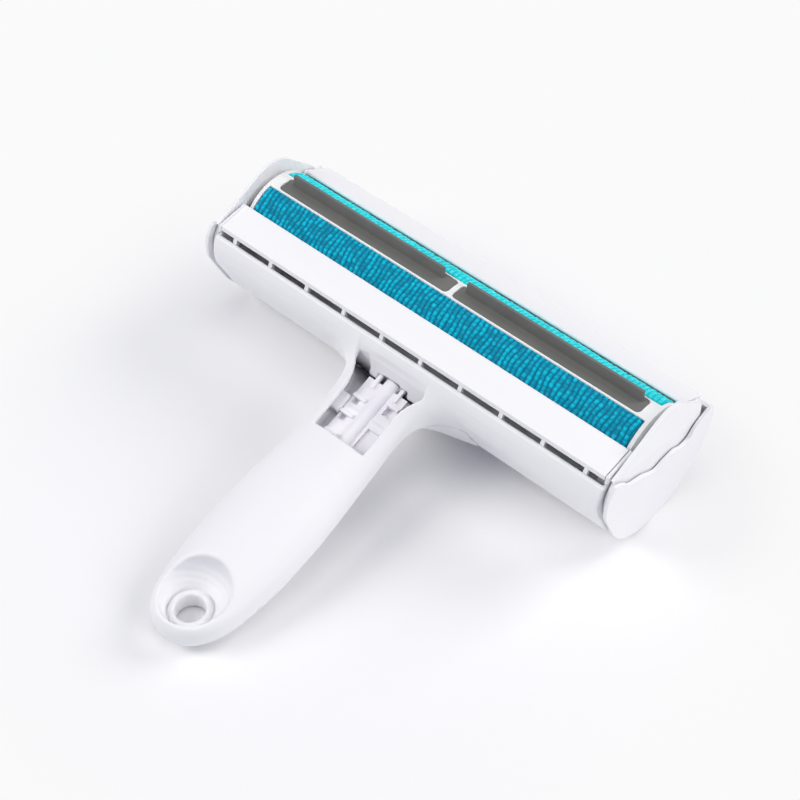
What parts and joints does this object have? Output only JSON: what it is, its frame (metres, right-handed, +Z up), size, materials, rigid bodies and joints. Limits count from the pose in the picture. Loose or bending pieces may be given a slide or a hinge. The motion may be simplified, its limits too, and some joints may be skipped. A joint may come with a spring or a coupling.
{
  "type": "pet hair removal brush",
  "caption": "Reusable pet hair remover: a rocking drum with pile strips and rubber blades in a hollow head, with a hinged hair bin and a handle with a release lever.",
  "frame": {"origin": "centre of the bounding box's base: the middle of the brush on the surface that it lies on, working side up", "axes": "+X along the head, -Y towards the handle's end, +Z up, away from the surface"},
  "size_m": [0.1924, 0.187, 0.0598],
  "materials": {
    "white_plastic": "satin injection-moulded ABS",
    "drum_plastic": "satin injection-moulded ABS",
    "lever_plastic": "satin injection-moulded ABS",
    "grey_rubber": "matt moulded rubber",
    "pile_teal": "directional short pile on a woven back",
    "pile_cyan": "directional short pile on a woven back",
    "steel": "zinc-plated steel"
  },
  "bodies": {
    "frame": {"handle_body": "white_plastic", "handle_back": "white_plastic", "handle_screws": "steel", "lip_near": "white_plastic", "lip_far": "white_plastic", "end_cover_left": "white_plastic", "end_cover_right": "white_plastic", "cover_screws": "steel", "hinge_pin_left": "steel", "hinge_pin_right": "steel", "lever_pin": "steel", "lever_spring": "steel"},
    "drum": {"drum_shell": "drum_plastic", "drum_back": "drum_plastic", "drum_cap_left": "drum_plastic", "drum_cap_right": "drum_plastic", "drum_screws": "steel", "pile_strip_near": "pile_teal", "pile_strip_far": "pile_cyan", "blade_left": "grey_rubber", "blade_right": "grey_rubber", "blade_clamp": "drum_plastic"},
    "lid": {"bin_lid": "white_plastic"},
    "lever": {"release_lever": "lever_plastic"}
  },
  "joints": [
    {"name": "drum_rock", "type": "hinge", "parent": "frame", "child": "drum", "pos_m": [0, 0.06062, 0.03696], "axis": [1, 0, 0], "range_deg": [-25.5, 14.5]},
    {"name": "lid_hinge", "type": "hinge", "parent": "frame", "child": "lid", "pos_m": [0, 0.09149, 0.03646], "axis": [1, 0, 0], "range_deg": [0, 95]},
    {"name": "release_press", "type": "hinge", "parent": "frame", "child": "lever", "pos_m": [0, 0.01207, 0.0262], "axis": [1, 0, 0], "range_deg": [-6, 0], "stiffness_Nm_per_rad": 0.2, "springref_deg": 5.73, "deforming": ["lever_spring"]}
  ]
}
